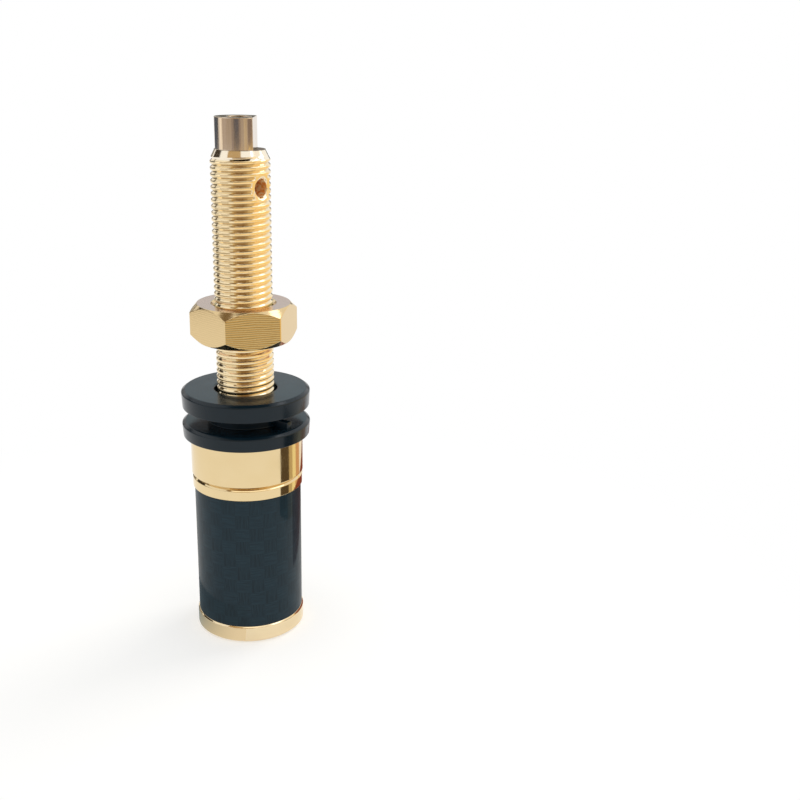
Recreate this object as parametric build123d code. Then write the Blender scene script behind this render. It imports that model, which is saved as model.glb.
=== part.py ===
# Panel binding post with a carbon-fibre knob, standing on the knob's end cap with its solder tail up.
# Millimetres, +Z up along the post's axis, origin at the centre of the end cap's face.
import math
import os

from build123d import *

# Stem, turned from one bar and kept as two solids that meet at the collar's rear face:
# the threaded shaft with its tail, and the collar with its clamp stud
thread_diameter = 8.0
thread_length = 39.45
thread_pitch = 0.84
thread_depth = 0.34
thread_land = 0.25
thread_lead_width = 0.65
thread_lead_height = 1.3
tail_diameter = 6.56
tail_length = 4.15
tail_flat_offset = 2.05
tail_flat_angle = -7.3
tail_edge_chamfer = 0.15
tail_bore_diameter = 3.2
tail_bore_depth = 11.0
solder_hole_diameter = 2.3
solder_hole_sink_diameter = 3.7
solder_hole_inset = 4.85
solder_hole_angle = -42.7
collar_diameter = 15.86
collar_height = 5.9
collar_chamfer = 0.35
stud_diameter = 6.0
stud_length = 18.9
stud_end_chamfer = 0.4
socket_diameter = 4.0
socket_depth = 14.0
socket_lead_in = 0.4
wire_hole_diameter = 2.6
wire_hole_inset = 2.3

# Knob: a turned body with its end cap, a carbon sleeve over it and a ring that turns on its neck
cap_diameter = 15.6
cap_height = 2.5
cap_front_chamfer = 0.36
cap_back_chamfer = 0.2
cap_hole_chamfer = 0.25
sleeve_diameter = 15.2
sleeve_wall = 1.0
sleeve_length = 19.65
ring_diameter = 15.66
ring_height = 1.65
ring_chamfer = 0.3
neck_diameter = 9.2
lip_overhang = 0.5
lip_thickness = 0.35
lip_recess = 0.35

# Insulators: two flanged washers, the front one with a spigot that enters the rear one
flange_diameter = 18.0
flange_draft = 0.13
flange_chamfer_width = 0.5
flange_chamfer_height = 0.35
front_flange_height = 2.1
rear_flange_height = 2.5
panel_gap = 2.05
spigot_diameter = 11.0
spigot_engagement = 1.2
key_width = 1.0
key_height = 1.0
key_reach = 8.0
key_angle = -43.0

# Hexagon nut
nut_width = 13.0
nut_height = 5.2
nut_chamfer_angle = 45.0
nut_face_diameter = 12.8
nut_sink = 0.45
nut_stand_off = 6.98
nut_turn = 10.0
nut_corner_margin = 0.5

# Fits, all radial except the end play
thread_clearance = 0.05
insulator_clearance = 0.35
spigot_clearance = 0.12
sleeve_clearance = 0.03
neck_clearance = 0.08
end_play = 0.05

# Radii
thread_r = thread_diameter / 2
tail_r = tail_diameter / 2
tail_bore_r = tail_bore_diameter / 2
collar_r = collar_diameter / 2
stud_r = stud_diameter / 2
socket_r = socket_diameter / 2
cap_r = cap_diameter / 2
sleeve_r = sleeve_diameter / 2
sleeve_bore_r = sleeve_r - sleeve_wall
core_r = sleeve_bore_r - sleeve_clearance
knob_bore_r = stud_r + thread_clearance
ring_r = ring_diameter / 2
neck_r = neck_diameter / 2
lip_r = neck_r + lip_overhang
flange_r = flange_diameter / 2
spigot_r = spigot_diameter / 2
insulator_bore_r = thread_r + insulator_clearance
nut_bore_r = thread_r + thread_clearance
nut_face_r = nut_face_diameter / 2

# Heights along the axis, stacked from the end cap's face
sleeve_top = cap_height + sleeve_length
ring_bottom = sleeve_top + end_play
ring_top = ring_bottom + ring_height
lip_top = ring_top - lip_recess
lip_bottom = lip_top - lip_thickness
web_top = lip_bottom - end_play
collar_bottom = ring_top
collar_top = collar_bottom + collar_height
stud_end = collar_bottom - stud_length
front_flange_top = collar_top + front_flange_height
rear_flange_bottom = front_flange_top + panel_gap
spigot_top = rear_flange_bottom + spigot_engagement
rear_flange_top = rear_flange_bottom + rear_flange_height
nut_bottom = rear_flange_top + nut_stand_off
nut_top = nut_bottom + nut_height
thread_end = collar_top + thread_length
thread_top = thread_end - thread_lead_height
tail_end = thread_end + tail_length
solder_hole_height = thread_end - solder_hole_inset
wire_hole_height = collar_bottom - wire_hole_inset


def turned(*outline):
    """Solid of revolution about Z from (radius, height) points."""
    return revolve(Plane.XZ * make_face(Polyline(*outline, close=True)), Axis.Z)


def rod(radius, bottom, top):
    """Plain cylinder on the Z axis between two heights."""
    return turned((0, bottom), (radius, bottom), (radius, top), (0, top))


def radial_plane(angle, height):
    """Plane on the axis at a height, its normal pointing out along an angle round the axis."""
    return Plane((0, 0, height), x_dir=(0, 0, 1), z_dir=Vector(1, 0, 0).rotate(Axis.Z, angle))


def thread_ridges():
    """Outline of the threaded length, upwards: a V groove and a crest land for each pitch."""
    groove = thread_pitch - thread_land
    turns = int((thread_top - collar_top) / thread_pitch)
    points = []
    for turn in range(turns):
        foot = thread_top - (turns - turn) * thread_pitch
        points.append((thread_r, foot))
        points.append((thread_r - thread_depth, foot + groove / 2))
        points.append((thread_r, foot + groove))
    return points


def threaded_shaft():
    body = turned(
        (0, collar_top),
        (thread_r, collar_top),
        *thread_ridges(),
        (thread_r, thread_top),
        (thread_r - thread_lead_width, thread_end),
        (tail_r, thread_end),
        (tail_r, tail_end - tail_edge_chamfer),
        (tail_r - tail_edge_chamfer, tail_end),
        (0, tail_end),
    )
    body -= rod(tail_bore_r, tail_end - tail_bore_depth, tail_end)
    # Countersunk hole from the thread's surface into the tail bore
    sink_depth = (solder_hole_sink_diameter - solder_hole_diameter) / 2
    drill = Pos(0, 0, thread_r / 2) * Cylinder(solder_hole_diameter / 2, thread_r)
    sink = Pos(0, 0, thread_r - sink_depth / 2) * Cone(
        solder_hole_diameter / 2, solder_hole_sink_diameter / 2, sink_depth
    )
    body -= radial_plane(solder_hole_angle, solder_hole_height) * (drill + sink)
    # Flat milled along one side of the tail
    mill = Box(tail_r, tail_diameter, tail_length)
    mill = Pos(tail_flat_offset + tail_r / 2, 0, thread_end + tail_length / 2) * mill
    return body - Rot(0, 0, tail_flat_angle) * mill


def collar_stud():
    body = turned(
        (0, stud_end),
        (stud_r - stud_end_chamfer, stud_end),
        (stud_r, stud_end + stud_end_chamfer),
        (stud_r, collar_bottom),
        (collar_r - collar_chamfer, collar_bottom),
        (collar_r, collar_bottom + collar_chamfer),
        (collar_r, collar_top),
        (0, collar_top),
    )
    # Plug socket in the stud's end, with a lead-in
    body -= turned(
        (0, stud_end),
        (socket_r + socket_lead_in, stud_end),
        (socket_r, stud_end + socket_lead_in),
        (socket_r, stud_end + socket_depth),
        (0, stud_end + socket_depth),
    )
    # Wire hole straight through the stud, bared when the knob is unscrewed
    wire_hole = Cylinder(wire_hole_diameter / 2, collar_diameter)
    return body - Pos(0, 0, wire_hole_height) * Rot(0, 90, 0) * wire_hole


def knob_body():
    return turned(
        (knob_bore_r + cap_hole_chamfer, 0),
        (cap_r - cap_front_chamfer, 0),
        (cap_r, cap_front_chamfer),
        (cap_r, cap_height - cap_back_chamfer),
        (cap_r - cap_back_chamfer, cap_height),
        (core_r, cap_height),
        (core_r, sleeve_top),
        (neck_r, sleeve_top),
        (neck_r, lip_bottom),
        (lip_r, lip_bottom),
        (lip_r, lip_top),
        (knob_bore_r, lip_top),
        (knob_bore_r, cap_hole_chamfer),
    )


def carbon_sleeve():
    return rod(sleeve_r, cap_height, sleeve_top) - rod(sleeve_bore_r, cap_height, sleeve_top)


def clamp_ring():
    bore_r = neck_r + neck_clearance
    counterbore_r = lip_r + neck_clearance
    return turned(
        (bore_r, ring_bottom),
        (ring_r, ring_bottom),
        (ring_r, ring_top - ring_chamfer),
        (ring_r - ring_chamfer, ring_top),
        (counterbore_r, ring_top),
        (counterbore_r, web_top),
        (bore_r, web_top),
    )


def flange(bottom, top):
    """Moulded flange: a drafted wall that widens upwards to a chamfered rim."""
    return turned(
        (insulator_bore_r, bottom),
        (flange_r - flange_draft, bottom),
        (flange_r, top - flange_chamfer_height),
        (flange_r - flange_chamfer_width, top),
        (insulator_bore_r, top),
    )


def front_insulator():
    spigot = rod(spigot_r, front_flange_top, spigot_top)
    # Key beside the spigot, for a notch in the panel's hole
    key = Pos(key_reach / 2, 0, front_flange_top + key_height / 2) * Box(key_reach, key_width, key_height)
    solid = flange(collar_top, front_flange_top) + spigot + Rot(0, 0, key_angle) * key
    return solid - rod(insulator_bore_r, collar_top, spigot_top)


def rear_insulator():
    recess = rod(spigot_r + spigot_clearance, rear_flange_bottom, spigot_top)
    return flange(rear_flange_bottom, rear_flange_top) - recess


def hex_nut():
    flats = RegularPolygon(nut_width / 2, 6, major_radius=False, rotation=nut_turn)
    block = Pos(0, 0, nut_bottom) * extrude(flats, nut_height)
    # Conical chamfers that round the corners off at both faces
    reach_r = nut_width / math.sqrt(3) + nut_corner_margin
    drop = (reach_r - nut_face_r) * math.tan(math.radians(nut_chamfer_angle))
    block &= turned(
        (0, nut_bottom),
        (nut_face_r, nut_bottom),
        (reach_r, nut_bottom + drop),
        (reach_r, nut_top - drop),
        (nut_face_r, nut_top),
        (0, nut_top),
    )
    return block - turned(
        (0, nut_bottom),
        (nut_bore_r + nut_sink, nut_bottom),
        (nut_bore_r, nut_bottom + nut_sink),
        (nut_bore_r, nut_top - nut_sink),
        (nut_bore_r + nut_sink, nut_top),
        (0, nut_top),
    )


pieces = {
    "threaded_shaft": threaded_shaft,
    "collar_stud": collar_stud,
    "front_insulator": front_insulator,
    "rear_insulator": rear_insulator,
    "hex_nut": hex_nut,
    "clamp_ring": clamp_ring,
    "knob_body": knob_body,
    "carbon_sleeve": carbon_sleeve,
}

os.makedirs("parts", exist_ok=True)
for name, make in pieces.items():
    solid = make()
    solid.label = name
    export_step(solid, f"parts/{name}.step")
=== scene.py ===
import math

import bmesh
import bpy
import numpy as np
from mathutils import Matrix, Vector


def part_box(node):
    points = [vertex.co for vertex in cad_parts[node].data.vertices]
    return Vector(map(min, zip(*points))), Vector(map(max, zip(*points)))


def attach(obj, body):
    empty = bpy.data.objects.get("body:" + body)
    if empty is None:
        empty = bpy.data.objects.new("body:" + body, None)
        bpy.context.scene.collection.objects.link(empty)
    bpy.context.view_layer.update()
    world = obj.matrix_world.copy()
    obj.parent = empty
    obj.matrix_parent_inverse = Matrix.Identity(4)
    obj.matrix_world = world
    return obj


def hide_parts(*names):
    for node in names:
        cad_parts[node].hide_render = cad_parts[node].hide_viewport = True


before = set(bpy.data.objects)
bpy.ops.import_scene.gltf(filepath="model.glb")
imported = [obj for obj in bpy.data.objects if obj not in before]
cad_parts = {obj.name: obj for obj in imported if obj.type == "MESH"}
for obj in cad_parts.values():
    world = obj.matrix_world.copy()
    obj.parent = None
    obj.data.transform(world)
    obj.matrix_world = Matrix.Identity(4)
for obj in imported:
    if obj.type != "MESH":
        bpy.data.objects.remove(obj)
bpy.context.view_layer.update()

mm = 0.001  # sizes below are in millimetres, Blender's are in metres
turn = 2 * math.pi
mergeGap = 0.0002  # points nearer than this are one point
cutterColumns = 48  # steps round a drilled hole
colourA, colourB, colourOut = 6, 7, 2  # a Mix node's colour sockets, by number
numberA, numberB = 2, 3  # and its sockets for two plain numbers
noiseSpan = {"From Min": 0.3, "From Max": 0.7}  # most of a noise texture's values lie between these
waveStep = turn / 20  # distance between a wave texture's bands at scale 1


def nodeBox(node):
    # Lowest and highest corner of a CAD solid, in millimetres
    low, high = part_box(node)
    return np.array(low) / mm, np.array(high) / mm


def anglesRound(count, extra=()):
    # Even steps round the axis, with extra angles slipped in; the last column repeats the first
    even = np.linspace(0, turn, count + 1)
    return np.unique(np.concatenate([even, np.mod(np.array(extra, float), turn)]))


def turnedOutline(corners, columns, closed, steps=4, flat=0.03):
    # Outline in (radius, height, trim). Each corner becomes a quadratic curve that leaves one side and
    # joins the next a trim away from it; one row just outside each end keeps the sides flat in shading.
    r = np.array([np.broadcast_to(c[0], columns) for c in corners], float)
    z = np.array([np.broadcast_to(c[1], columns) for c in corners], float)
    trim = np.array([c[2] for c in corners], float)[:, None, None]
    point = np.stack([r, z], -1)
    back = np.roll(point, 1, 0) - point
    ahead = np.roll(point, -1, 0) - point
    back = back / np.linalg.norm(back, axis=-1, keepdims=True)
    ahead = ahead / np.linalg.norm(ahead, axis=-1, keepdims=True)
    first, last = point + back * trim, point + ahead * trim
    s = np.linspace(0, 1, steps + 1)[None, :, None, None]
    curve = (1 - s) ** 2 * first[:, None] + 2 * s * (1 - s) * point[:, None] + s ** 2 * last[:, None]
    guard = flat * (trim > 0)
    rows = np.concatenate([(first + back * guard)[:, None], curve, (last + ahead * guard)[:, None]], 1)
    rows = rows.reshape(-1, columns, 2)
    if closed:
        return np.concatenate([rows, rows[:1]])
    return rows[steps + 1 : -(steps + 1)]


def spun(outline, angle):
    # Turned surface: each outline point carried round the axis, x = r cos a, y = r sin a
    r, z = outline[..., 0], outline[..., 1]
    return np.stack([r * np.cos(angle), r * np.sin(angle), z], -1)


def screwThread(low, high, crest, screw, angle):
    # Right-hand screw between two heights: rows climb one pitch a turn and stop at both ends. Across a
    # pitch a triangle wave runs from the middle of the crest to the root; the radius falls with its square
    # over the crown, then in a straight flank, and a parabola rounds the edge between the two.
    pitch, flat, ease = screw["pitch"], screw["crestFlat"], screw["ease"]
    guard = 1.6 * ease  # one row outside each end of the rounded edge
    stops = np.array([0, flat - guard, flat - ease, flat, flat + ease, flat + guard, 1])
    shares = np.unique(np.concatenate([1 - stops, 1 + stops[:-1]])) / 2
    climb = (np.arange(-1, math.ceil((high - low) / pitch) + 1)[:, None] + shares).reshape(-1, 1)
    z = np.clip(low + pitch * (climb + angle / turn), low, high)
    phase = (z - low) / pitch - angle / turn
    wave = np.abs(2 * (phase - np.floor(phase)) - 1)
    past = np.clip(wave - flat + ease, 0, 2 * ease) ** 2 / (4 * ease) + np.maximum(wave - flat - ease, 0)
    fall = screw["crown"] * np.minimum(wave / flat, 1) ** 2
    return np.stack([crest - fall - (screw["depth"] - screw["crown"]) * past / (1 - flat), z], -1)


def gridMesh(name, points, faceSlots=None, uv=None):
    # Four-sided faces between neighbouring rows and columns of a grid of points. Points that coincide
    # are merged, which closes seams and poles, and the faces are turned outwards.
    rows, columns = points.shape[:2]
    index = np.arange(rows * columns).reshape(rows, columns)
    quads = np.stack([index[:-1, :-1], index[:-1, 1:], index[1:, 1:], index[1:, :-1]], -1).reshape(-1, 4)
    mesh = bpy.data.meshes.new(name)
    mesh.vertices.add(rows * columns)
    mesh.vertices.foreach_set("co", (points * mm).ravel())
    mesh.loops.add(quads.size)
    mesh.loops.foreach_set("vertex_index", quads.ravel())
    mesh.polygons.add(len(quads))
    mesh.polygons.foreach_set("loop_start", np.arange(0, quads.size, 4))
    if faceSlots is not None:
        mesh.polygons.foreach_set("material_index", faceSlots.ravel())
    if uv is not None:
        layer = mesh.uv_layers.new(name="weave")
        layer.uv.foreach_set("vector", uv.reshape(-1, 2)[quads.ravel()].ravel())
    mesh.update(calc_edges=True)
    work = bmesh.new()
    work.from_mesh(mesh)
    bmesh.ops.remove_doubles(work, verts=work.verts, dist=mergeGap * mm)
    bmesh.ops.recalc_face_normals(work, faces=work.faces)
    work.to_mesh(mesh)
    work.free()
    piece = bpy.data.objects.new(name, mesh)
    bpy.context.scene.collection.objects.link(piece)
    return piece


def combined(piece, tool, operation):
    # Boolean of the piece with a closed tool, applied at once, and the tool removed
    change = piece.modifiers.new("cut", "BOOLEAN")
    change.operation = operation
    change.solver = "EXACT"
    change.object = tool
    tool.hide_render = True
    graph = bpy.context.evaluated_depsgraph_get()
    mesh = bpy.data.meshes.new_from_object(piece.evaluated_get(graph))
    piece.modifiers.clear()
    piece.data = mesh
    bpy.data.objects.remove(tool)
    return piece


def drill(radius, start, end, direction, height):
    # Round cutter: a circle carried between two reaches along a level direction, at a height
    corners = [(0, start, 0), (radius, start, 0), (radius, end, 0), (0, end, 0)]
    angle = anglesRound(cutterColumns)
    upright = spun(turnedOutline(corners, len(angle), False), angle)
    up, side, along = upright[..., 0], upright[..., 1], upright[..., 2]
    x = along * math.cos(direction) - side * math.sin(direction)
    y = along * math.sin(direction) + side * math.cos(direction)
    return gridMesh("cutter", np.stack([x, y, height + up], -1))


def finishPiece(piece, body, nodes, materials, sharp=35):
    # Smooth shading with sharp edges above an angle, then materials, body and the solid it stands for
    for material in materials:
        piece.data.materials.append(material)
    piece.data.shade_smooth()
    piece.data.set_sharp_from_angle(angle=math.radians(sharp))
    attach(piece, body)
    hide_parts(*nodes)
    piece.data.calc_loop_triangles()
    print(piece.name, "triangles", len(piece.data.loop_triangles))
    return piece


def linear(code):
    # sRGB hex to a linear colour with alpha 1
    part = np.array([int(code[i : i + 2], 16) / 255 for i in (0, 2, 4)])
    part = np.where(part <= 0.04045, part / 12.92, ((part + 0.055) / 1.055) ** 2.4)
    return (*(float(p) for p in part), 1.0)


def addNode(tree, kind, settings=None, links=None):
    # One node with its settings, given by property or by socket name or number, and the links into it
    node = tree.nodes.new(kind)
    for key, value in (settings or {}).items():
        if isinstance(key, str) and key in node.bl_rna.properties:
            setattr(node, key, value)
        else:
            node.inputs[key].default_value = value
    for key, source in (links or {}).items():
        tree.links.new(source, node.inputs[key])
    return node


def newMaterial(name, settings):
    # Material with one Principled shader that has these socket values
    material = bpy.data.materials.new(name)
    material.use_nodes = True
    tree = material.node_tree
    tree.nodes.clear()
    shader = addNode(tree, "ShaderNodeBsdfPrincipled", settings)
    addNode(tree, "ShaderNodeOutputMaterial", None, {"Surface": shader.outputs["BSDF"]})
    return material, tree, shader


# Gold plate over polished brass: a near mirror, with faint turning lines round the axis, which are drawn
# coarser than real ones so that they show
polished = {
    "pale": "ead4a8", "deep": "e2c896", "cloudMm": 5.0, "rough": (0.05, 0.13),
    "lineMm": 0.16, "lineDepthMm": 0.02, "lineBump": 0.04,
}
# Paler copy of the same plate for the cap and the hole's lip: a painted reflection of the pale paper and
# light they mirror
polishedCapPaleReflection = {**polished, "pale": "f2dfbc", "deep": "ead4aa"}


def goldPolishedPlate(name, plate):
    material, tree, shader = newMaterial(name, {"Metallic": 1.0})
    place = addNode(tree, "ShaderNodeTexCoord").outputs["Object"]
    axes = addNode(tree, "ShaderNodeSeparateXYZ", None, {0: place})
    cloud = addNode(
        tree, "ShaderNodeTexNoise", {"Scale": 1 / (plate["cloudMm"] * mm), "Detail": 3.0}, {"Vector": place}
    )
    tint = addNode(
        tree, "ShaderNodeMix",
        {"data_type": "RGBA", colourA: linear(plate["pale"]), colourB: linear(plate["deep"])},
        {0: cloud.outputs["Fac"]},
    )
    lines = addNode(
        tree, "ShaderNodeTexNoise",
        {"noise_dimensions": "1D", "Scale": 1 / (plate["lineMm"] * mm), "Detail": 2.0},
        {"W": axes.outputs["Z"]},
    )
    smooth, dull = plate["rough"]
    rough = addNode(
        tree, "ShaderNodeMapRange", {**noiseSpan, "To Min": smooth, "To Max": dull},
        {"Value": cloud.outputs["Fac"]},
    )
    bump = addNode(
        tree, "ShaderNodeBump",
        {"Strength": plate["lineBump"], "Distance": plate["lineDepthMm"] * mm},
        {"Height": lines.outputs["Fac"]},
    )
    tree.links.new(tint.outputs[colourOut], shader.inputs["Base Color"])
    tree.links.new(rough.outputs[0], shader.inputs["Roughness"])
    tree.links.new(bump.outputs[0], shader.inputs["Normal"])
    return material


# Gold plate over a cut thread: bright crests, roots tinted a shade less yellow and the lead-in cone tinted
# paler, both painted reflection, and all of it a little uneven in gloss
cutThread = {
    "crest": "f4deb2", "root": "f0e2c4", "lead": "f8ecd6",
    "rootMm": 3.72, "crestMm": 3.97, "leadMm": 68.0, "patchMm": 1.6, "rough": (0.06, 0.16),
}


def goldCutThread():
    material, tree, shader = newMaterial("goldCutThread", {"Metallic": 1.0})
    place = addNode(tree, "ShaderNodeTexCoord").outputs["Object"]
    flatPlace = addNode(tree, "ShaderNodeVectorMath", {"operation": "MULTIPLY", 1: (1, 1, 0)}, {0: place})
    radius = addNode(tree, "ShaderNodeVectorMath", {"operation": "LENGTH"}, {0: flatPlace.outputs[0]})
    height = addNode(
        tree, "ShaderNodeMapRange",
        {"From Min": cutThread["rootMm"] * mm, "From Max": cutThread["crestMm"] * mm},
        {"Value": radius.outputs["Value"]},
    )
    axes = addNode(tree, "ShaderNodeSeparateXYZ", None, {0: place})
    lead = addNode(
        tree, "ShaderNodeMath",
        {"operation": "GREATER_THAN", 1: cutThread["leadMm"] * mm},
        {0: axes.outputs["Z"]},
    )
    # Roots tinted less yellow than crests, following the radius: a painted reflection
    turns = addNode(
        tree, "ShaderNodeMix",
        {"data_type": "RGBA", colourA: linear(cutThread["root"]), colourB: linear(cutThread["crest"])},
        {0: height.outputs[0]},
    )
    # Lead-in cone tinted paler: a painted reflection
    tint = addNode(
        tree, "ShaderNodeMix",
        {"data_type": "RGBA", colourB: linear(cutThread["lead"])},
        {0: lead.outputs[0], colourA: turns.outputs[colourOut]},
    )
    patch = addNode(
        tree, "ShaderNodeTexNoise",
        {"Scale": 1 / (cutThread["patchMm"] * mm), "Detail": 4.0},
        {"Vector": place},
    )
    smooth, dull = cutThread["rough"]
    rough = addNode(
        tree, "ShaderNodeMapRange", {**noiseSpan, "To Min": smooth, "To Max": dull},
        {"Value": patch.outputs["Fac"]},
    )
    tree.links.new(tint.outputs[colourOut], shader.inputs["Base Color"])
    tree.links.new(rough.outputs[0], shader.inputs["Roughness"])
    return material


# Thin plate on the turned tail: browner and duller, with streaks along the axis
tailPlate = {
    "pale": "e9d8c0", "dark": "b49d84", "streakMm": 0.5, "streakLengthMm": 6.0, "rough": (0.05, 0.14),
}


def goldTailPlate():
    material, tree, shader = newMaterial("goldTailPlate", {"Metallic": 1.0})
    place = addNode(tree, "ShaderNodeTexCoord").outputs["Object"]
    across, along = 1 / (tailPlate["streakMm"] * mm), 1 / (tailPlate["streakLengthMm"] * mm)
    drawn = addNode(tree, "ShaderNodeMapping", {"Scale": (across, across, along)}, {"Vector": place})
    streak = addNode(tree, "ShaderNodeTexNoise", {"Scale": 1.0, "Detail": 3.0}, {"Vector": drawn.outputs[0]})
    tint = addNode(
        tree, "ShaderNodeMix",
        {"data_type": "RGBA", colourA: linear(tailPlate["pale"]), colourB: linear(tailPlate["dark"])},
        {0: streak.outputs["Fac"]},
    )
    smooth, dull = tailPlate["rough"]
    rough = addNode(
        tree, "ShaderNodeMapRange", {**noiseSpan, "To Min": smooth, "To Max": dull},
        {"Value": streak.outputs["Fac"]},
    )
    tree.links.new(tint.outputs[colourOut], shader.inputs["Base Color"])
    tree.links.new(rough.outputs[0], shader.inputs["Roughness"])
    return material


# Plate inside the drilled hole: mottled orange, its pale mottles partly painted highlight, most of its gloss
# lost
drilled = {
    "pale": "ffe8b4", "deep": "f0a048", "chipAndGlintMm": 0.5, "chipAndGlintLow": 0.4, "chipAndGlintHigh": 0.6,
    "metallic": 0.2, "rough": 0.35,
}


def goldDrilledHole():
    material, tree, shader = newMaterial(
        "goldDrilledHole", {"Metallic": drilled["metallic"], "Roughness": drilled["rough"]}
    )
    place = addNode(tree, "ShaderNodeTexCoord").outputs["Object"]
    chipAndGlint = addNode(
        tree, "ShaderNodeTexNoise", {"Scale": 1 / (drilled["chipAndGlintMm"] * mm), "Detail": 2.0}, {"Vector": place}
    )
    level = addNode(
        tree, "ShaderNodeMapRange",
        {"From Min": drilled["chipAndGlintLow"], "From Max": drilled["chipAndGlintHigh"]},
        {"Value": chipAndGlint.outputs["Fac"]},
    )
    # Pale mottles are partly real mottling and partly a painted highlight inside the hole
    tint = addNode(
        tree, "ShaderNodeMix",
        {"data_type": "RGBA", colourA: linear(drilled["deep"]), colourB: linear(drilled["pale"])},
        {0: level.outputs[0]},
    )
    tree.links.new(tint.outputs[colourOut], shader.inputs["Base Color"])
    return material


# Gold plate over a milled hexagon: satin, with level cutter lines on one pair of flats and duller end faces
# tinted paler as a painted reflection. The lines are drawn coarser than a cutter leaves them, so that they
# show.
drawnBar = {
    "pale": "e6cb9a", "deep": "907432", "faced": "e8d0be", "flatRough": 0.16, "facedRough": 0.2,
    "lineMm": 0.29, "lineLengthMm": 4.0, "lineLow": -0.8, "lineHigh": 1.4,
    "lineDepthMm": 0.04, "lineBump": 0.25,
    "lined": (0.1736, -0.9848, 0),  # square to the pair of flats that keeps the lines
    "wiped": 0.15,  # share of the lines that the other flats keep
    "facingFrom": 0.9, "facingBy": 0.97,  # cosines over which a face comes to count as square to a direction
}


def goldDrawnBar():
    material, tree, shader = newMaterial("goldDrawnBar", {"Metallic": 1.0})
    facingSpan = {"From Min": drawnBar["facingFrom"], "From Max": drawnBar["facingBy"]}
    place = addNode(tree, "ShaderNodeTexCoord").outputs["Object"]
    along, across = 1 / (drawnBar["lineLengthMm"] * mm), waveStep / (drawnBar["lineMm"] * mm)
    drawn = addNode(tree, "ShaderNodeMapping", {"Scale": (along, along, across)}, {"Vector": place})
    lines = addNode(
        tree, "ShaderNodeTexWave",
        {"bands_direction": "Z", "Scale": 1.0, "Distortion": 4.0, "Detail": 3.0, "Detail Scale": 1.0},
        {"Vector": drawn.outputs[0]},
    )
    facing = addNode(tree, "ShaderNodeTexCoord").outputs["Normal"]
    # One pair of flats keeps the cutter's lines, the others are nearly wiped smooth
    cut = addNode(
        tree, "ShaderNodeVectorMath", {"operation": "DOT_PRODUCT", 1: drawnBar["lined"]}, {0: facing}
    )
    cutSide = addNode(tree, "ShaderNodeMath", {"operation": "ABSOLUTE"}, {0: cut.outputs["Value"]})
    lined = addNode(
        tree, "ShaderNodeMapRange",
        {**facingSpan, "To Min": drawnBar["wiped"]},
        {"Value": cutSide.outputs[0]},
    )
    level = addNode(
        tree, "ShaderNodeMapRange",
        {"From Min": drawnBar["lineLow"], "From Max": drawnBar["lineHigh"]},
        {"Value": lines.outputs["Fac"]},
    )
    share = addNode(
        tree, "ShaderNodeMath", {"operation": "MULTIPLY"}, {0: level.outputs[0], 1: lined.outputs[0]}
    )
    flats = addNode(
        tree, "ShaderNodeMix",
        {"data_type": "RGBA", colourA: linear(drawnBar["pale"]), colourB: linear(drawnBar["deep"])},
        {0: share.outputs[0]},
    )
    # End faces are those whose normal runs along the axis
    upright = addNode(tree, "ShaderNodeSeparateXYZ", None, {0: facing})
    steep = addNode(tree, "ShaderNodeMath", {"operation": "ABSOLUTE"}, {0: upright.outputs["Z"]})
    faced = addNode(tree, "ShaderNodeMapRange", facingSpan, {"Value": steep.outputs[0]})
    # End faces tinted paler: a painted reflection; their extra roughness below is the plate's own
    tint = addNode(
        tree, "ShaderNodeMix",
        {"data_type": "RGBA", colourB: linear(drawnBar["faced"])},
        {0: faced.outputs[0], colourA: flats.outputs[colourOut]},
    )
    rough = addNode(
        tree, "ShaderNodeMapRange",
        {"To Min": drawnBar["flatRough"], "To Max": drawnBar["facedRough"]},
        {"Value": faced.outputs[0]},
    )
    height = addNode(
        tree, "ShaderNodeMath", {"operation": "MULTIPLY"}, {0: lines.outputs["Fac"], 1: lined.outputs[0]}
    )
    bump = addNode(
        tree, "ShaderNodeBump",
        {"Strength": drawnBar["lineBump"], "Distance": drawnBar["lineDepthMm"] * mm},
        {"Height": height.outputs[0]},
    )
    tree.links.new(tint.outputs[colourOut], shader.inputs["Base Color"])
    tree.links.new(rough.outputs[0], shader.inputs["Roughness"])
    tree.links.new(bump.outputs[0], shader.inputs["Normal"])
    return material


# Black moulded thermoplastic: deep blue-black, half gloss, with a faint orange-peel from the mould
moulded = {
    "dark": "06161f", "light": "0d212b", "cloudMm": 4.0, "rough": (0.14, 0.24), "ior": 1.36,
    "peelMm": 0.5, "peelDepthMm": 0.05, "peelBump": 0.05,
}


def blackMouldedPlastic():
    material, tree, shader = newMaterial("blackMouldedPlastic", {"IOR": moulded["ior"]})
    place = addNode(tree, "ShaderNodeTexCoord").outputs["Object"]
    cloud = addNode(
        tree, "ShaderNodeTexNoise",
        {"Scale": 1 / (moulded["cloudMm"] * mm), "Detail": 4.0},
        {"Vector": place},
    )
    tint = addNode(
        tree, "ShaderNodeMix",
        {"data_type": "RGBA", colourA: linear(moulded["dark"]), colourB: linear(moulded["light"])},
        {0: cloud.outputs["Fac"]},
    )
    smooth, dull = moulded["rough"]
    rough = addNode(
        tree, "ShaderNodeMapRange", {**noiseSpan, "To Min": smooth, "To Max": dull},
        {"Value": cloud.outputs["Fac"]},
    )
    peel = addNode(
        tree, "ShaderNodeTexNoise", {"Scale": 1 / (moulded["peelMm"] * mm), "Detail": 2.0}, {"Vector": place}
    )
    bump = addNode(
        tree, "ShaderNodeBump",
        {"Strength": moulded["peelBump"], "Distance": moulded["peelDepthMm"] * mm},
        {"Height": peel.outputs["Fac"]},
    )
    tree.links.new(tint.outputs[colourOut], shader.inputs["Base Color"])
    tree.links.new(rough.outputs[0], shader.inputs["Roughness"])
    tree.links.new(bump.outputs[0], shader.inputs["Normal"])
    return material


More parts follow.
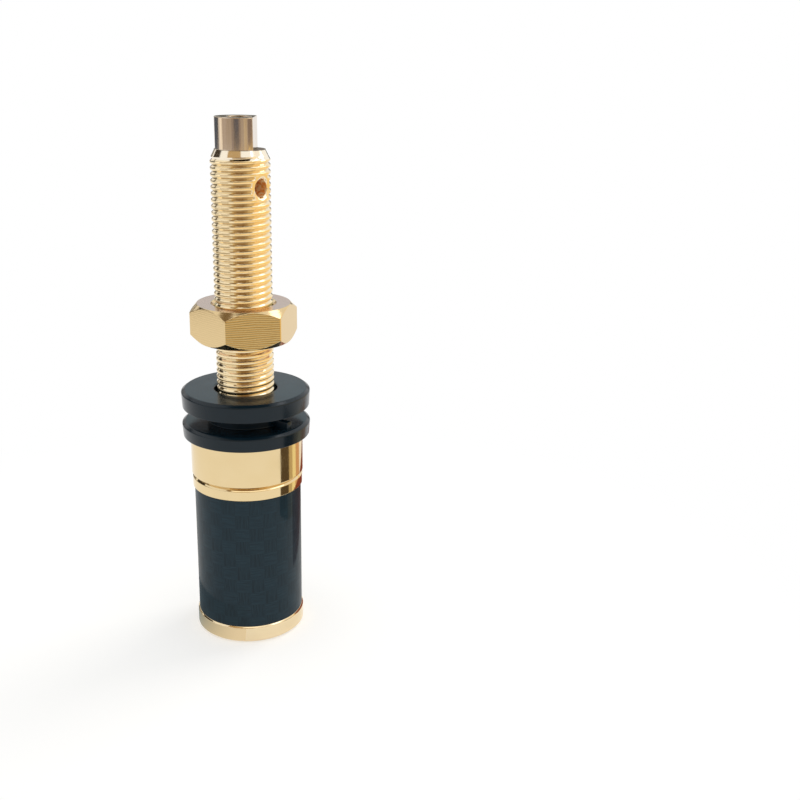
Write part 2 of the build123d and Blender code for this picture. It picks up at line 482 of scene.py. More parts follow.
# Carbon cloth in plain weave under clear lacquer: flat tows cross over and under in checks, every second one
# catching more light, below a smooth wet-looking coat. Ten filaments stand for a tow's thousands, so that
# they show.
weave = {
    "dark": "172932", "light": "1f3641", "glowLow": 0.3, "glowHigh": 0.84, "weftGlow": 0.14,
    "filaments": 10.0, "filamentShift": 7.3, "filamentRise": 0.25, "depthMm": 0.08, "bump": 0.2,
}
lacquer = {"Coat Weight": 0.3, "Coat Roughness": 0.06, "Roughness": 0.5, "Specular IOR Level": 0.05}


def carbonClothLacquered():
    material, tree, shader = newMaterial("carbonClothLacquered", lacquer)
    place = addNode(tree, "ShaderNodeUVMap", {"uv_map": "weave"})  # one unit is one tow
    axes = addNode(tree, "ShaderNodeSeparateXYZ", None, {0: place.outputs[0]})
    cell, part = [], []
    for axis in ("X", "Y"):
        cell.append(addNode(tree, "ShaderNodeMath", {"operation": "FLOOR"}, {0: axes.outputs[axis]}))
        part.append(addNode(tree, "ShaderNodeMath", {"operation": "FRACT"}, {0: axes.outputs[axis]}))
    both = addNode(
        tree, "ShaderNodeMath", {"operation": "ADD"}, {0: cell[0].outputs[0], 1: cell[1].outputs[0]}
    )
    weft = addNode(tree, "ShaderNodeMath", {"operation": "MODULO", 1: 2.0}, {0: both.outputs[0]})
    along = addNode(
        tree, "ShaderNodeMix", {"data_type": "FLOAT"},
        {0: weft.outputs[0], numberA: part[1].outputs[0], numberB: part[0].outputs[0]},
    )
    across = addNode(
        tree, "ShaderNodeMix", {"data_type": "FLOAT"},
        {0: weft.outputs[0], numberA: part[0].outputs[0], numberB: part[1].outputs[0]},
    )
    # A tow rises and dips along its length as half a sine
    angle = addNode(tree, "ShaderNodeMath", {"operation": "MULTIPLY", 1: math.pi}, {0: along.outputs[0]})
    rise = addNode(tree, "ShaderNodeMath", {"operation": "SINE"}, {0: angle.outputs[0]})
    # Filaments run along the tow, told apart from cell to cell
    fine = addNode(
        tree, "ShaderNodeMath", {"operation": "MULTIPLY", 1: weave["filaments"]}, {0: across.outputs[0]}
    )
    shift = addNode(
        tree, "ShaderNodeMath", {"operation": "MULTIPLY", 1: weave["filamentShift"]}, {0: both.outputs[0]}
    )
    strand = addNode(
        tree, "ShaderNodeCombineXYZ", None,
        {"X": fine.outputs[0], "Y": along.outputs[0], "Z": shift.outputs[0]},
    )
    filament = addNode(
        tree, "ShaderNodeTexNoise", {"Scale": 1.0, "Detail": 2.0}, {"Vector": strand.outputs[0]}
    )
    # Every second check painted lighter: a painted sheen for the light the crossing tows catch
    glow = addNode(
        tree, "ShaderNodeMath",
        {"operation": "MULTIPLY_ADD", 1: weave["weftGlow"]},
        {0: weft.outputs[0], 2: filament.outputs["Fac"]},
    )
    level = addNode(
        tree, "ShaderNodeMapRange",
        {"From Min": weave["glowLow"], "From Max": weave["glowHigh"]},
        {"Value": glow.outputs[0]},
    )
    tint = addNode(
        tree, "ShaderNodeMix",
        {"data_type": "RGBA", colourA: linear(weave["dark"]), colourB: linear(weave["light"])},
        {0: level.outputs[0]},
    )
    height = addNode(
        tree, "ShaderNodeMath",
        {"operation": "MULTIPLY_ADD", 1: weave["filamentRise"]},
        {0: filament.outputs["Fac"], 2: rise.outputs[0]},
    )
    bump = addNode(
        tree, "ShaderNodeBump",
        {"Strength": weave["bump"], "Distance": weave["depthMm"] * mm},
        {"Height": height.outputs[0]},
    )
    tree.links.new(tint.outputs[colourOut], shader.inputs["Base Color"])
    tree.links.new(bump.outputs[0], shader.inputs["Normal"])
    return material


polishedGold = goldPolishedPlate("goldPolishedPlate", polished)
capGoldPaleReflection = goldPolishedPlate("goldPolishedCapPaleReflection", polishedCapPaleReflection)
threadGold = goldCutThread()
tailGold = goldTailPlate()
holeGold = goldDrilledHole()
nutGold = goldDrawnBar()
blackPlastic = blackMouldedPlastic()
carbonCloth = carbonClothLacquered()
print("materials made")


# Threaded shaft with its tail. Every edge in these dictionaries is the trim of a rounded corner.
shaft = {
    "columns": 96, "tailBore": 1.6, "tailBoreDepth": 11.0, "mouth": 1.5, "tail": 3.28, "tailLength": 4.15,
    "edge": 0.12, "floorEdge": 0.1, "shoulderEdge": 0.08,
    "flatOffset": 2.05, "flatAngle": math.radians(-7.3), "leadWidth": 0.65, "leadHeight": 1.3,
    "hole": 1.15, "holeInset": 4.85, "holeAngle": math.radians(-42.7), "holeColumns": 34,
    "holeStart": 0.5, "holeOver": 1.0, "lip": 1.85, "lipSink": 0.06, "lipDepth": 0.5,
}
shaftScrew = {"pitch": 0.84, "depth": 0.27, "crown": 0.012, "crestFlat": 0.36, "ease": 0.06}


def threadedShaft():
    # Outline from the bore's floor up the bore, over the D-shaped tail and the lead-in cone, down the thread
    # and across the rear face, carried round the axis
    low, high = nodeBox("threaded_shaft")
    crest, top, bottom = high[0], high[2], low[2]
    shoulder = top - shaft["tailLength"]
    half = math.acos(shaft["flatOffset"] / shaft["tail"])
    flat = shaft["flatAngle"]
    nearHole = shaft["holeAngle"] + np.linspace(-1, 1, shaft["holeColumns"]) * shaft["lip"] / crest
    angle = anglesRound(shaft["columns"], [flat - half, flat + half, *nearHole])
    count = len(angle)
    neck = crest - shaft["leadWidth"]
    tail = turnedOutline(
        [
            (0, top - shaft["tailBoreDepth"], 0),
            (shaft["tailBore"], top - shaft["tailBoreDepth"], shaft["floorEdge"]),
            (shaft["tailBore"], top - shaft["mouth"], 0),
            (shaft["tailBore"], top, shaft["edge"]),
            (shaft["tail"], top, shaft["edge"]),
            (shaft["tail"], shoulder, shaft["shoulderEdge"]),
            (neck, shoulder, 0),
        ],
        count, False,
    )
    # The milled flat is a straight line in plan: r = offset / cos of the angle from its normal
    glancing = 0.3  # below this cosine the line lies well outside the tail
    reach = shaft["flatOffset"] / np.maximum(np.cos(angle - flat), glancing)
    outside = (tail[..., 0] > shaft["tailBore"] + shaft["edge"]) & (tail[..., 1] > shoulder + mergeGap)
    tail[..., 0] = np.where(outside, np.minimum(tail[..., 0], reach), tail[..., 0])
    screw = screwThread(bottom, shoulder, crest, shaftScrew, angle)[::-1].copy()
    # The lead-in cone cuts the last turns down
    steep = shaft["leadWidth"] / shaft["leadHeight"]
    screw[..., 0] = np.minimum(screw[..., 0], neck + steep * (shoulder - screw[..., 1]))
    # Round the hole the thread is dressed off to a smooth lip, a quarter ellipse from its rim into the hole
    holeHeight = shoulder - shaft["holeInset"]
    aside = crest * (np.mod(angle - shaft["holeAngle"] + math.pi, turn) - math.pi)
    away = np.hypot(aside, screw[..., 1] - holeHeight)
    inward = np.clip((shaft["lip"] - away) / (shaft["lip"] - shaft["hole"]), 0, 1)
    lip = crest - shaft["lipSink"] - shaft["lipDepth"] * (1 - np.sqrt(1 - inward ** 2))
    onLip = away < shaft["lip"]
    screw[..., 0] = np.where(onLip, lip, screw[..., 0])
    base = turnedOutline([(crest - shaftScrew["depth"], bottom, 0), (0, bottom, 0)], count, False)
    rows = np.concatenate([tail, screw, base])
    # Material slots: 0 thread, 1 tail, 2 inside the bore and the hole, 3 lip
    boreRows, shoulderRows = 12, 3  # first rows, up to the bore's mouth, and last rows of the tail's outline
    slots = np.zeros((len(rows) - 1, count - 1), int)
    slots[: len(tail) - shoulderRows] = 1
    slots[:boreRows] = 2
    slots[len(tail) : len(tail) + len(screw) - 1][onLip[1:, 1:]] = 3
    piece = gridMesh("threadedShaft", spun(rows, angle), slots)
    cutter = drill(
        shaft["hole"], shaft["holeStart"], crest + shaft["holeOver"], shaft["holeAngle"], holeHeight
    )
    cutter.data.polygons.foreach_set("material_index", np.full(len(cutter.data.polygons), 2))
    # Slot 3, the lip, takes the cap's paler copy of the plate: a painted reflection
    for material in (threadGold, tailGold, holeGold, capGoldPaleReflection):
        piece.data.materials.append(material)
        cutter.data.materials.append(material)
    combined(piece, cutter, "DIFFERENCE")
    return finishPiece(piece, "post", ["threaded_shaft"], [])


threadedShaft()


# Collar with its clamp stud
collar = {
    "columns": 132, "chamfer": 0.35, "edge": 0.06, "height": 5.9,
    "stud": 3.0, "studChamfer": 0.4, "runOut": 0.6, "rootEdge": 0.1,
    "socket": 2.0, "socketDepth": 14.0, "socketLead": 0.4, "floorEdge": 0.1, "leadEdge": 0.05,
    "wireHole": 1.3, "wireHoleInset": 2.3, "wireReach": 6.0,
}
studScrew = {"pitch": 1.0, "depth": 0.5, "crown": 0.01, "crestFlat": 0.25, "ease": 0.1}


def collarStud():
    # Outline from the socket's floor down the socket, up the stud's thread and over the collar, carried
    # round the axis; the thread's start is cut to a 45 degree cone, r = tip + height above the end
    low, high = nodeBox("collar_stud")
    wide, top, end = high[0], high[2], low[2]
    bottom = top - collar["height"]
    angle = anglesRound(collar["columns"])
    count = len(angle)
    stud = collar["stud"]
    root = stud - studScrew["depth"]
    tip = stud - collar["studChamfer"]
    threadTop = bottom - collar["runOut"]
    socket = turnedOutline(
        [
            (0, end + collar["socketDepth"], 0),
            (collar["socket"], end + collar["socketDepth"], collar["floorEdge"]),
            (collar["socket"], end + collar["socketLead"], collar["leadEdge"]),
            (collar["socket"] + collar["socketLead"], end, 0),
            (tip, end, 0),
        ],
        count, False,
    )
    screw = screwThread(end, threadTop, stud, studScrew, angle)
    screw[..., 0] = np.minimum(screw[..., 0], tip + screw[..., 1] - end)
    head = turnedOutline(
        [
            (root, threadTop, 0),
            (root, bottom, collar["rootEdge"]),
            (wide - collar["chamfer"], bottom, collar["edge"]),
            (wide, bottom + collar["chamfer"], collar["edge"]),
            (wide, top, collar["edge"]),
            (0, top, 0),
        ],
        count, False,
    )
    piece = gridMesh("collarStud", spun(np.concatenate([socket, screw, head]), angle))
    reach = collar["wireReach"]
    cutter = drill(collar["wireHole"], -reach, reach, 0, bottom - collar["wireHoleInset"])
    combined(piece, cutter, "DIFFERENCE")
    return finishPiece(piece, "post", ["collar_stud"], [polishedGold])


collarStud()


# Insulators: moulded flanges with a drafted wall and a chamfered rim
flange = {
    "columns": 132, "draft": 0.13, "chamferWidth": 0.5, "chamferHeight": 0.35, "edge": 0.1, "bore": 4.35,
    "frontHeight": 2.1, "spigot": 5.5, "recess": 5.62, "recessDepth": 1.2,
    "boreEdge": 0.3, "recessEdge": 0.08, "insideEdge": 0.05,
}
# Key for a notch in the panel: each step of its tip has a distance from the end and a share of the section
panelKey = {
    "width": 1.0, "height": 1.0, "sunk": 0.5, "start": 5.0, "reach": 8.0, "angle": math.radians(-43),
    "points": 33, "roundness": 0.25, "tip": ((0.15, 1.0), (0.04, 0.94), (0.0, 0.8)),
}


def flangeRim(wide, bottom, top):
    # Outer corners of a flange, from the foot of its wall to the inside of its rim chamfer
    edge = flange["edge"]
    return [
        (wide - flange["draft"], bottom, edge),
        (wide, top - flange["chamferHeight"], edge),
        (wide - flange["chamferWidth"], top, edge),
    ]


def keyBar(top):
    # Bar with a rounded section, cos and sin of the way round raised to a small power, carried outwards from
    # inside the spigot and drawn in at its tip; half its height is sunk below the flange's top
    u = np.linspace(0, turn, panelKey["points"])
    way = np.stack([np.cos(u), np.sin(u)])
    across, tall = np.sign(way) * np.abs(way) ** panelKey["roundness"]
    fromEnd, shareLeft = np.array(panelKey["tip"]).T
    start, reach = panelKey["start"], panelKey["reach"]
    away = np.concatenate([[start, start], reach - fromEnd, [reach]])[:, None]
    fill = np.concatenate([[0, 1], shareLeft, [0]])[:, None]
    side = fill * across * panelKey["width"] / 2
    middle = top + panelKey["height"] * (1 - panelKey["sunk"]) / 2
    up = middle + fill * tall * panelKey["height"] * (1 + panelKey["sunk"]) / 2
    c, s = math.cos(panelKey["angle"]), math.sin(panelKey["angle"])
    return gridMesh("key", np.stack([away * c - side * s, away * s + side * c, up], -1))


def frontInsulator():
    # Closed outline of flange and spigot, carried round the axis and joined with the key
    low, high = nodeBox("front_insulator")
    wide, bottom, top = high[0], low[2], low[2] + flange["frontHeight"]
    angle = anglesRound(flange["columns"])
    edge = flange["edge"]
    corners = [
        (flange["bore"], bottom, flange["insideEdge"]),
        *flangeRim(wide, bottom, top),
        (flange["spigot"], top, edge),
        (flange["spigot"], high[2], edge),
        (flange["bore"], high[2], edge),
    ]
    piece = gridMesh("frontInsulator", spun(turnedOutline(corners, len(angle), True), angle))
    combined(piece, keyBar(top), "UNION")
    return finishPiece(piece, "post", ["front_insulator"], [blackPlastic])


def rearInsulator():
    # Closed outline of flange, bore and the recess for the spigot, carried round the axis
    low, high = nodeBox("rear_insulator")
    wide, bottom, top = high[0], low[2], high[2]
    angle = anglesRound(flange["columns"])
    recessTop = bottom + flange["recessDepth"]
    corners = [
        (flange["recess"], bottom, flange["recessEdge"]),
        *flangeRim(wide, bottom, top),
        (flange["bore"], top, flange["boreEdge"]),
        (flange["bore"], recessTop, flange["insideEdge"]),
        (flange["recess"], recessTop, flange["insideEdge"]),
    ]
    piece = gridMesh("rearInsulator", spun(turnedOutline(corners, len(angle), True), angle))
    return finishPiece(piece, "rear_washer", ["rear_insulator"], [blackPlastic])


frontInsulator()
rearInsulator()


# Hexagon nut: flats with slightly rounded corners, 45 degree cones at both faces, countersunk bore
nut = {
    "flats": 13.0, "face": 6.4, "slope": 1.0, "bore": 4.05, "sink": 0.45, "turned": math.radians(10),
    "corner": 0.3, "edge": 0.07, "boreEdge": 0.03,
    "perFlat": 16, "perCorner": 7, "edgeSteps": 3, "sharp": 40,
}


def hexNut():
    # Closed outline whose outer radius changes round the axis: on a flat r = apothem / cos of the angle from
    # its middle, on a corner r is where the ray leaves the corner's arc
    low, high = nodeBox("hex_nut")
    bottom, top = low[2], high[2]
    apothem, soft = nut["flats"] / 2, nut["corner"]
    sector = turn / 6
    # The corner's arc is centred this far out, and meets the flat at this angle from its middle
    centre = (apothem - soft) / math.cos(sector / 2)
    meets = math.atan((apothem - soft) * math.tan(sector / 2) / apothem)
    spread = sector / 2 - meets
    guard = 1.6 * spread  # one column outside each end of the arc keeps the flats flat in shading
    near = np.concatenate([np.linspace(-spread, spread, nut["perCorner"]), [-guard, guard]])
    corners = nut["turned"] + sector * np.arange(6)
    angle = anglesRound(6 * nut["perFlat"], (corners[:, None] + near).ravel())
    off = np.mod(angle - nut["turned"] + sector / 2, sector) - sector / 2  # from the nearest corner
    onFlat = apothem / np.cos(sector / 2 - np.abs(off))
    onArc = centre * np.cos(off) + np.sqrt(np.maximum(soft ** 2 - (centre * np.sin(off)) ** 2, 0))
    wide = np.where(np.abs(off) < spread, onArc, onFlat)
    drop = (wide - nut["face"]) * nut["slope"]
    edge = nut["edge"]
    outline = turnedOutline(
        [
            (nut["bore"], bottom + nut["sink"], nut["boreEdge"]),
            (nut["bore"] + nut["sink"], bottom, edge),
            (nut["face"], bottom, edge / 2),
            (wide, bottom + drop, edge),
            (wide, top - drop, edge),
            (nut["face"], top, edge / 2),
            (nut["bore"] + nut["sink"], top, edge),
            (nut["bore"], top - nut["sink"], nut["boreEdge"]),
        ],
        len(angle), True, steps=nut["edgeSteps"],
    )
    piece = gridMesh("hexNut", spun(outline, angle))
    return finishPiece(piece, "nut", ["hex_nut"], [nutGold], sharp=nut["sharp"])


hexNut()


# Clamp ring: a thin turned ring with a chamfer towards the collar
ring = {"columns": 132, "bore": 4.68, "counterbore": 5.18, "web": 0.9, "chamfer": 0.3, "edge": 0.05}


def clampRing():
    # Closed outline of ring, counterbore and web, carried round the axis
    low, high = nodeBox("clamp_ring")
    wide, bottom, top = high[0], low[2], high[2]
    angle = anglesRound(ring["columns"])
    edge, webTop = ring["edge"], bottom + ring["web"]
    corners = [
        (ring["bore"], bottom, edge),
        (wide, bottom, edge),
        (wide, top - ring["chamfer"], edge),
        (wide - ring["chamfer"], top, edge),
        (ring["counterbore"], top, edge),
        (ring["counterbore"], webTop, edge),
        (ring["bore"], webTop, edge),
    ]
    piece = gridMesh("clampRing", spun(turnedOutline(corners, len(angle), True), angle))
    return finishPiece(piece, "ring", ["clamp_ring"], [polishedGold])


clampRing()


# Knob body: the end cap with its plain bore, and the core that the sleeve sits on
knob = {
    "columns": 132, "capHeight": 2.5, "frontChamfer": 0.36, "backChamfer": 0.2, "holeChamfer": 0.25,
    "bore": 3.05, "core": 6.57, "neck": 4.6, "lip": 5.1, "lipThickness": 0.35, "edge": 0.05,
}


def knobBody():
    # Closed outline of cap, core, neck, lip and bore, carried round the axis
    low, high = nodeBox("knob_body")
    sleeveTop = nodeBox("carbon_sleeve")[1][2]
    wide, bottom, top = high[0], low[2], high[2]
    edge, cap = knob["edge"], low[2] + knob["capHeight"]
    angle = anglesRound(knob["columns"])
    corners = [
        (knob["bore"] + knob["holeChamfer"], bottom, edge),
        (wide - knob["frontChamfer"], bottom, edge),
        (wide, bottom + knob["frontChamfer"], edge),
        (wide, cap - knob["backChamfer"], edge),
        (wide - knob["backChamfer"], cap, edge),
        (knob["core"], cap, edge),
        (knob["core"], sleeveTop, edge),
        (knob["neck"], sleeveTop, edge),
        (knob["neck"], top - knob["lipThickness"], edge),
        (knob["lip"], top - knob["lipThickness"], edge),
        (knob["lip"], top, edge),
        (knob["bore"], top, edge),
        (knob["bore"], bottom + knob["holeChamfer"], edge),
    ]
    piece = gridMesh("knobBody", spun(turnedOutline(corners, len(angle), True), angle))
    # The cap takes the paler copy of the plate: a painted reflection
    return finishPiece(piece, "knob", ["knob_body"], [capGoldPaleReflection])


knobBody()


# Carbon sleeve: a plain tube; the cloth's map has 24 tows round it, each close to 2 mm wide
sleeve = {"columns": 144, "wall": 1.0, "edge": 0.06, "towsRound": 24}


def carbonSleeve():
    # Closed outline of the tube's wall, carried round the axis; the map counts tows round the axis and up it
    low, high = nodeBox("carbon_sleeve")
    wide, bottom, top = high[0], low[2], high[2]
    angle = anglesRound(sleeve["columns"])
    inside, edge = wide - sleeve["wall"], sleeve["edge"]
    corners = [(inside, bottom, edge), (wide, bottom, edge), (wide, top, edge), (inside, top, edge)]
    outline = turnedOutline(corners, len(angle), True)
    tow = turn * wide / sleeve["towsRound"]
    around = np.broadcast_to(angle / turn * sleeve["towsRound"], outline.shape[:2])
    cloth = np.stack([around, outline[..., 1] / tow], -1)
    piece = gridMesh("carbonSleeve", spun(outline, angle), None, cloth)
    return finishPiece(piece, "knob", ["carbon_sleeve"], [carbonCloth])


carbonSleeve()
print("pieces made")


# Stage: a pale floor that shows white to the eye, to metal and to glass, and keeps the shadow; half its
# width is in metres, the rest in millimetres
floor = {"half": 4.0, "drop": 0.02, "colour": "d4d4d2", "lift": 0.44, "plainFrom": 25.0, "plainBy": 90.0}


def whiteRays(tree):
    # 1 for rays from the camera, from gloss and through glass, 0 for the rest
    rays = addNode(tree, "ShaderNodeLightPath").outputs
    seen = rays["Is Camera Ray"]
    for ray in ("Is Glossy Ray", "Is Transmission Ray"):
        either = addNode(tree, "ShaderNodeMath", {"operation": "MAXIMUM"}, {0: seen, 1: rays[ray]})
        seen = either.outputs[0]
    return seen


def paleFloor():
    edge = np.array([-1.0, 1.0]) * floor["half"] / mm
    x, y = np.meshgrid(edge, edge)
    piece = gridMesh("floor", np.stack([x, y, np.full_like(x, -floor["drop"])], -1))
    material, tree, shader = newMaterial(
        "floorPaper",
        {
            "Base Color": linear(floor["colour"]), "Roughness": 1.0, "Specular IOR Level": 0.0,
            "Emission Color": (1, 1, 1, 1),
        },
    )
    white = whiteRays(tree)
    lift = addNode(tree, "ShaderNodeMath", {"operation": "MULTIPLY", 1: floor["lift"]}, {0: white})
    tree.links.new(lift.outputs[0], shader.inputs["Emission Strength"])
    # Away from the post the paper turns plain white for the same rays
    place = addNode(tree, "ShaderNodeTexCoord").outputs["Object"]
    away = addNode(tree, "ShaderNodeVectorMath", {"operation": "LENGTH"}, {0: place})
    fade = addNode(
        tree, "ShaderNodeMapRange",
        {
            "interpolation_type": "SMOOTHSTEP",
            "From Min": floor["plainFrom"] * mm, "From Max": floor["plainBy"] * mm,
        },
        {"Value": away.outputs["Value"]},
    )
    share = addNode(tree, "ShaderNodeMath", {"operation": "MULTIPLY"}, {0: fade.outputs[0], 1: white})
    plain = addNode(tree, "ShaderNodeEmission", {"Strength": 1.0})
    both = addNode(
        tree, "ShaderNodeMixShader", None, {0: share.outputs[0], 1: shader.outputs[0], 2: plain.outputs[0]}
    )
    tree.links.new(both.outputs[0], tree.nodes["Material Output"].inputs["Surface"])
    piece.data.materials.append(material)


paleFloor()

# Cards round the stage that only reflections see, each a patch of a sphere: bearing from +X towards +Y and
# rise in degrees, distance in millimetres, colour and brightness. Where two overlap, the nearer one shows.
cards = {
    "frontRoom": ((-150, -30), (-8, 30), 700, "c4b8ac", 1.0),
    "frontDim": ((-126, -84), (-8, 1), 680, "a69a96", 1.0),
    "frontDark": ((-116, -92), (-8, 1), 660, "70707c", 1.0),  # the tail's dark middle
    "frontBright": ((-70, -56), (-8, 1), 660, "e2d4ba", 1.0),
    "frontDarkRight": ((-52, -30), (-8, 1), 660, "9a8c86", 1.0),
    "frontTableNear": ((-118, -50), (-26, -16.5), 172, "7a6638", 1.0),
    "frontTable": ((-118, -50), (-16.5, -11.2), 172, "bcae82", 1.0),
    "frontTableFar": ((-118, -50), (-11.2, 2.5), 172, "fbe6c0", 1.12),
    "frontRiseLeft": ((-150, -46), (5, 30), 680, "eef2ff", 1.1),  # five tones for the thread's dashes
    "frontRiseFair": ((-56, -38), (5, 30), 605, "eed8b2", 1.0),
    "frontRisePale": ((-130, -56), (5, 30), 670, "d8c6a8", 1.0),
    "frontRiseMid": ((-122, -66), (5, 30), 660, "b09a7a", 1.0),
    "frontRise": ((-112, -78), (5, 30), 650, "92785a", 1.0),
    "frontRiseRight": ((-46, 30), (5, 18), 610, "ffe2ae", 1.2),
    "leftRise": ((157, 210), (5, 17), 650, "eef2ff", 1.15),
    "frontUpper": ((-152, -86), (32, 56), 640, "cdae80", 0.85),
    "frontHigh": ((-140, -35), (56, 69), 600, "fffaf2", 1.4),
    "rightWarm": ((-52, 42), (-19.5, 8), 110, "fbe0a4", 1.1),
    "windowLow": ((-50, 25), (18, 42), 600, "fffaf2", 1.0),
    "windowHigh": ((-35, 21), (42, 55), 600, "f4f6ff", 2.2),
    "overhead": ((-180, 180), (74, 90), 700, "6a5230", 0.15),
    "overheadRight": ((-90, 100), (68, 74), 700, "6a5230", 0.3),
    "overheadLeft": ((178, 215), (56, 74), 700, "9a8058", 0.6),
    "leftBand": ((150, 222), (-10, -1), 110, "a89d8c", 1.0),  # the crests' line on the left
    "leftShade": ((128, 178), (17, 32), 690, "4a4238", 0.8),
    "backLine": ((66, 112), (1, 8), 690, "6c6a5e", 0.8),
    "backLeft": ((114, 160), (-8, 3), 700, "5f6878", 1.0),
    "backLeftRise": ((114, 160), (3, 13), 700, "948e84", 1.0),
    "leftBright": ((170, 186), (-8, 10), 700, "fffaf2", 1.25),
    "left": ((186, 210), (-8, 10), 700, "cdc2ba", 1.0),
    "backLow": ((66, 112), (3, 15), 700, "e8dcdc", 0.85),
    "backHigh": ((66, 112), (15, 40), 700, "cfe4ea", 0.95),
}
cardColumns, cardRows = 37, 13
cardCentre = 45.0  # height of the spheres' centre, in millimetres
# Upright strips on the right, seen in the collar and the ring: x, spans of y and z, colour, brightness
strips = {
    "darkStrip": (45, (-20.5, -2.5), (0, 17), "5a4e3e", 1.0),
    "tanStrip": (45, (-2.5, 6), (0, 17), "cbb992", 1.0),
    "paleStrip": (45, (6, 16), (0, 17), "fff4c4", 1.0),
    "orangeStrip": (45, (16, 34), (0, 17), "dcb08a", 1.0),
    "brownStrip": (25, (2.5, 60), (0, 14), "8a4639", 1.0),
    "windowPane": (27, (-4, 8), (71, 82), "ffffff", 3.0),  # high up, seen in one corner of the nut
}
# Painted shadow of the paper beside the cap, a card seen only in the cap: dark as far as the full bearing,
# then fading to plain
shade = {"bearing": (98, 262), "full": 150, "reach": (7.9, 18.0), "dark": "8a979c", "pale": "efe8dc"}


def reflectionOnly(piece, colour, level):
    # Lit card that the camera, shadows and soft light don't meet
    material = bpy.data.materials.new(piece.name)
    material.use_nodes = True
    tree = material.node_tree
    tree.nodes.clear()
    glow = addNode(tree, "ShaderNodeEmission", {"Color": linear(colour), "Strength": level})
    addNode(tree, "ShaderNodeOutputMaterial", None, {"Surface": glow.outputs[0]})
    piece.data.materials.append(material)
    piece.visible_camera = False
    piece.visible_diffuse = False
    piece.visible_shadow = False
    return tree


def standCards():
    # Patch of a sphere over a bearing and a rise: level distance times cos and sin of the bearing, and up
    for name, (bearingSpan, riseSpan, away, colour, level) in cards.items():
        bearing = np.radians(np.linspace(*bearingSpan, cardColumns))[None, :]
        rise = np.radians(np.linspace(*riseSpan, cardRows))[:, None]
        x = away * np.cos(rise) * np.cos(bearing)
        y = away * np.cos(rise) * np.sin(bearing)
        z = cardCentre + away * np.sin(rise) + 0 * bearing
        reflectionOnly(gridMesh(name, np.stack([x, y, z], -1)), colour, level)


def standStrips():
    # Upright rectangle that faces along x
    for name, (x, ySpan, zSpan, colour, level) in strips.items():
        y, z = np.meshgrid(np.array(ySpan, float), np.array(zSpan, float))
        piece = gridMesh(name, np.stack([np.full_like(y, x), y, z], -1))
        reflectionOnly(piece, colour, level)


def layShade():
    # Flat ring sector whose tone follows the angle round the axis
    bearing = np.radians(np.linspace(*shade["bearing"], cardColumns))
    reach = np.array(shade["reach"])
    flat = np.stack([reach, np.zeros(2)], -1)[:, None] + np.zeros((1, cardColumns, 1))
    tree = reflectionOnly(gridMesh("shade", spun(flat, bearing)), shade["pale"], 1.0)
    place = addNode(tree, "ShaderNodeTexCoord").outputs["Object"]
    back = addNode(tree, "ShaderNodeMapping", {"Rotation": (0, 0, math.pi)}, {0: place})
    sweep = addNode(tree, "ShaderNodeTexGradient", {"gradient_type": "RADIAL"}, {0: back.outputs[0]})
    share = addNode(
        tree, "ShaderNodeMapRange",
        {
            "interpolation_type": "SMOOTHSTEP",
            "From Min": shade["full"] / 360, "From Max": shade["bearing"][1] / 360,
        },
        {"Value": sweep.outputs["Fac"]},
    )
    tone = addNode(
        tree, "ShaderNodeMix",
        {"data_type": "RGBA", colourA: linear(shade["dark"]), colourB: linear(shade["pale"])},
        {0: share.outputs[0]},
    )
    tree.links.new(tone.outputs[colourOut], tree.nodes["Emission"].inputs["Color"])


standCards()
standStrips()
layShade()

# Window: one large soft lamp behind on the right, in metres; a white world gives the rest of the light
window = {
    "place": (0.46, 0.32, 0.40), "target": (0, 0, 0.035), "size": 0.36, "power": 1.4, "colour": "fffaf2",
}
worldLevel = {"seen": 1.0, "light": 0.8}


def axesMatrix(right, up, forward, place):
    # Matrix at a place whose X runs right and Y up, and whose -Z looks forward
    matrix = np.eye(4)
    matrix[:3, :3] = np.stack([right, up, -np.array(forward)], 1)
    matrix[:3, 3] = place
    return Matrix(matrix.tolist())


def aimed(place, target):
    # Matrix at a place whose -Z looks at the target, with X level
    forward = np.array(target) - np.array(place)
    forward = forward / np.linalg.norm(forward)
    right = np.cross(forward, (0, 0, 1))
    right = right / np.linalg.norm(right)
    return axesMatrix(right, np.cross(right, forward), forward, place)


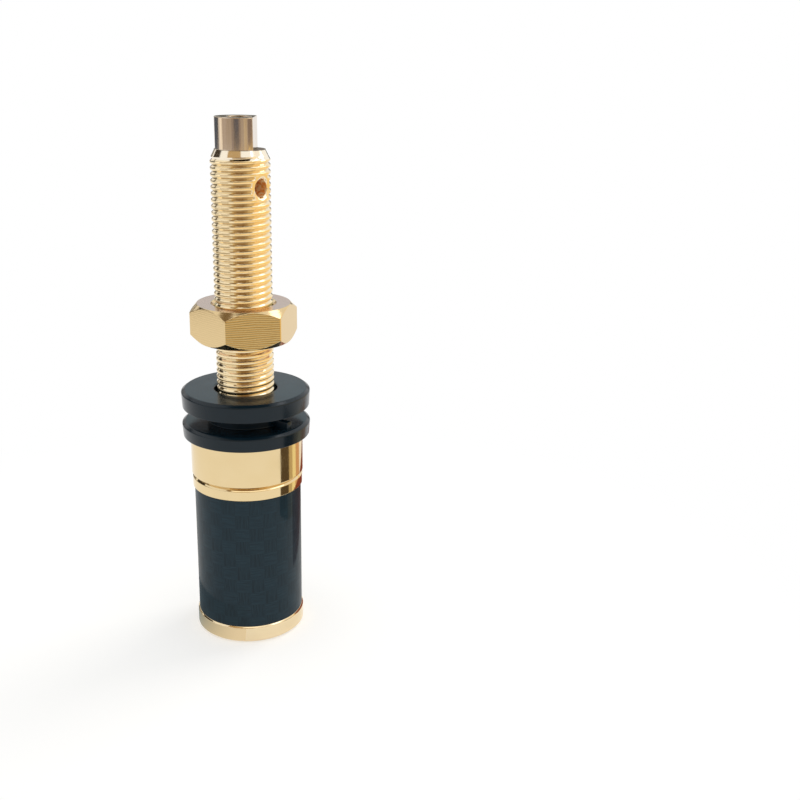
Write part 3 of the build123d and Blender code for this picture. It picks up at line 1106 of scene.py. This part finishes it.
def lightStage():
    lamp = bpy.data.lights.new("window", "AREA")
    lamp.shape = "SQUARE"
    lamp.size = window["size"]
    lamp.energy = window["power"]
    lamp.color = linear(window["colour"])[:3]
    lampObject = bpy.data.objects.new("window", lamp)
    bpy.context.scene.collection.objects.link(lampObject)
    lampObject.matrix_world = aimed(window["place"], window["target"])
    lampObject.visible_glossy = False  # the window cards stand for it in reflections
    world = bpy.data.worlds.new("whiteRoom")
    bpy.context.scene.world = world
    world.use_nodes = True
    tree = world.node_tree
    tree.nodes.clear()
    level = addNode(
        tree, "ShaderNodeMapRange",
        {"To Min": worldLevel["light"], "To Max": worldLevel["seen"]},
        {"Value": whiteRays(tree)},
    )
    sky = addNode(tree, "ShaderNodeBackground", {"Color": (1, 1, 1, 1)}, {"Strength": level.outputs[0]})
    addNode(tree, "ShaderNodeOutputWorld", None, {"Surface": sky.outputs[0]})


lightStage()

# Camera: where it stands in metres, which way it looks in degrees, and its lens in millimetres
view = {
    "place": (0, -0.146632, 0.082363), "yaw": 8.542, "pitch": 18.129, "roll": 1.226,
    "lens": 48.532, "sensor": 36.0, "clip": 0.005,
}


def setCamera():
    # Yaw turns the look to the right, pitch lowers it, and roll turns the picture about it
    yaw, pitch, roll = (math.radians(view[k]) for k in ("yaw", "pitch", "roll"))
    forward = np.array([math.sin(yaw) * math.cos(pitch), math.cos(yaw) * math.cos(pitch), -math.sin(pitch)])
    level = np.array([math.cos(yaw), -math.sin(yaw), 0])
    upright = np.cross(level, forward)
    right = math.cos(roll) * level + math.sin(roll) * upright
    up = -math.sin(roll) * level + math.cos(roll) * upright
    camera = bpy.data.cameras.new("camera")
    camera.lens = view["lens"]
    camera.sensor_width = view["sensor"]
    camera.clip_start = view["clip"]
    cameraObject = bpy.data.objects.new("camera", camera)
    bpy.context.scene.collection.objects.link(cameraObject)
    cameraObject.matrix_world = axesMatrix(right, up, forward, view["place"])
    bpy.context.scene.camera = cameraObject


setCamera()
bpy.context.scene.view_settings.view_transform = "Standard"
print("stage, light and camera set")
